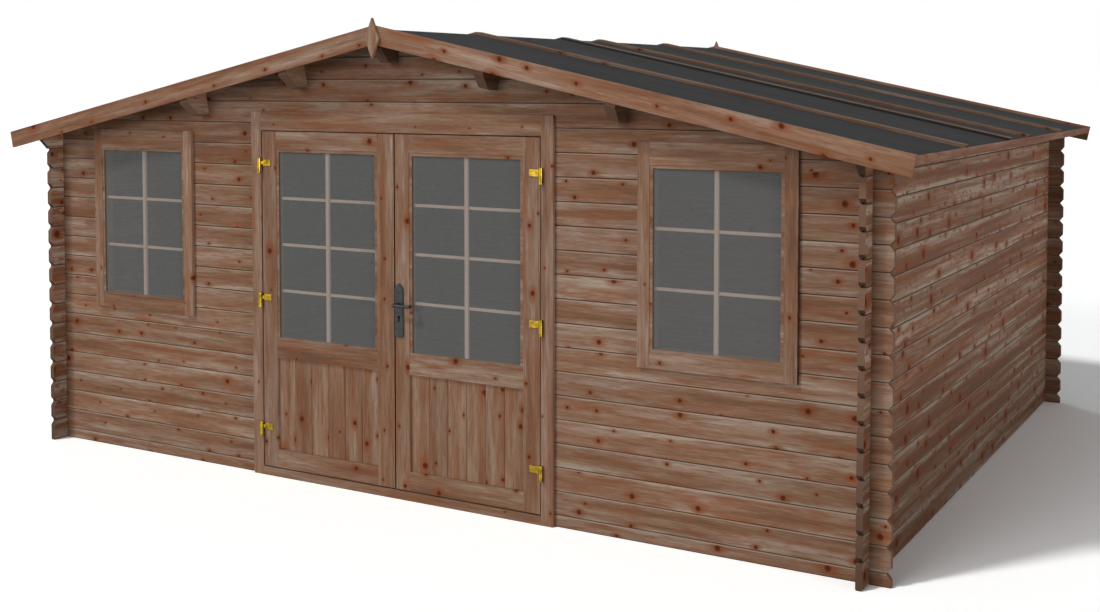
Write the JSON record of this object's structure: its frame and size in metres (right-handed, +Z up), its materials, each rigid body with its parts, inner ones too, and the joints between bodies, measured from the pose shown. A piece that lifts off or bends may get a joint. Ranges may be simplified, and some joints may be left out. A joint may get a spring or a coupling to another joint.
{
  "type": "garden shed",
  "caption": "Log-cabin garden shed with crossed log corners, a low felted gable roof, an outward-opening glazed double door and framed windows.",
  "frame": {"origin": "middle of the footprint at ground level, the bottom centre of the bounding box", "axes": "+X along the front to the right, +Y from the front wall to the rear wall, +Z up"},
  "size_m": [5.459, 4.3482, 2.4729],
  "materials": {
    "log_timber": "stained softwood, semi-matt",
    "trim_timber": "stained softwood, semi-matt",
    "joinery_timber": "stained softwood, semi-matt",
    "bare_timber": "untreated softwood boards",
    "roofing_felt": "mineral-faced bitumen felt, matt",
    "glass": "clear flat pane",
    "brass": "plain brass",
    "black_metal": "black satin"
  },
  "bodies": {
    "cabin": {"left_wall": "log_timber", "right_wall": "log_timber", "rear_wall": "log_timber", "front_wall_left": "log_timber", "front_wall_right": "log_timber", "front_gable": "log_timber", "ridge_purlin": "log_timber", "left_purlins": "log_timber", "right_purlins": "log_timber", "left_roof_boards": "bare_timber", "right_roof_boards": "bare_timber", "left_felt": "roofing_felt", "right_felt": "roofing_felt", "left_battens": "trim_timber", "right_battens": "trim_timber", "eave_fascias": "trim_timber", "front_bargeboards": "trim_timber", "rear_bargeboards": "trim_timber", "front_finial": "trim_timber", "rear_finial": "trim_timber", "floor_boards": "bare_timber", "floor_bearers": "bare_timber", "door_jambs": "joinery_timber", "door_head": "joinery_timber", "door_stops": "joinery_timber", "threshold": "joinery_timber", "frame_hinges": "brass", "left_window_frame": "joinery_timber", "left_window_beads": "joinery_timber", "left_window_glass": "glass", "right_window_frame": "joinery_timber", "right_window_beads": "joinery_timber", "right_window_glass": "glass"},
    "left_door": {"left_leaf_frame": "joinery_timber", "left_leaf_beads": "joinery_timber", "left_leaf_glass": "glass", "left_leaf_panel": "joinery_timber", "left_leaf_hinges": "brass"},
    "right_door": {"right_leaf_frame": "joinery_timber", "right_leaf_beads": "joinery_timber", "right_leaf_glass": "glass", "right_leaf_panel": "joinery_timber", "right_leaf_hinges": "brass", "lock_plates": "black_metal"},
    "lever": {"lever": "black_metal"}
  },
  "joints": [
    {"name": "left_door_hinge", "type": "hinge", "parent": "cabin", "child": "left_door", "pos_m": [-0.888, -2.0185, 0.967], "axis": [0, 0, -1], "range_deg": [0, 120]},
    {"name": "right_door_hinge", "type": "hinge", "parent": "cabin", "child": "right_door", "pos_m": [0.888, -2.0185, 0.967], "axis": [0, 0, 1], "range_deg": [0, 120]},
    {"name": "lever_turn", "type": "hinge", "parent": "right_door", "child": "lever", "pos_m": [0.0405, -1.9835, 1.013], "axis": [0, 1, 0], "range_deg": [0, 45], "stiffness_Nm_per_rad": 2, "springref_deg": -17.19}
  ]
}
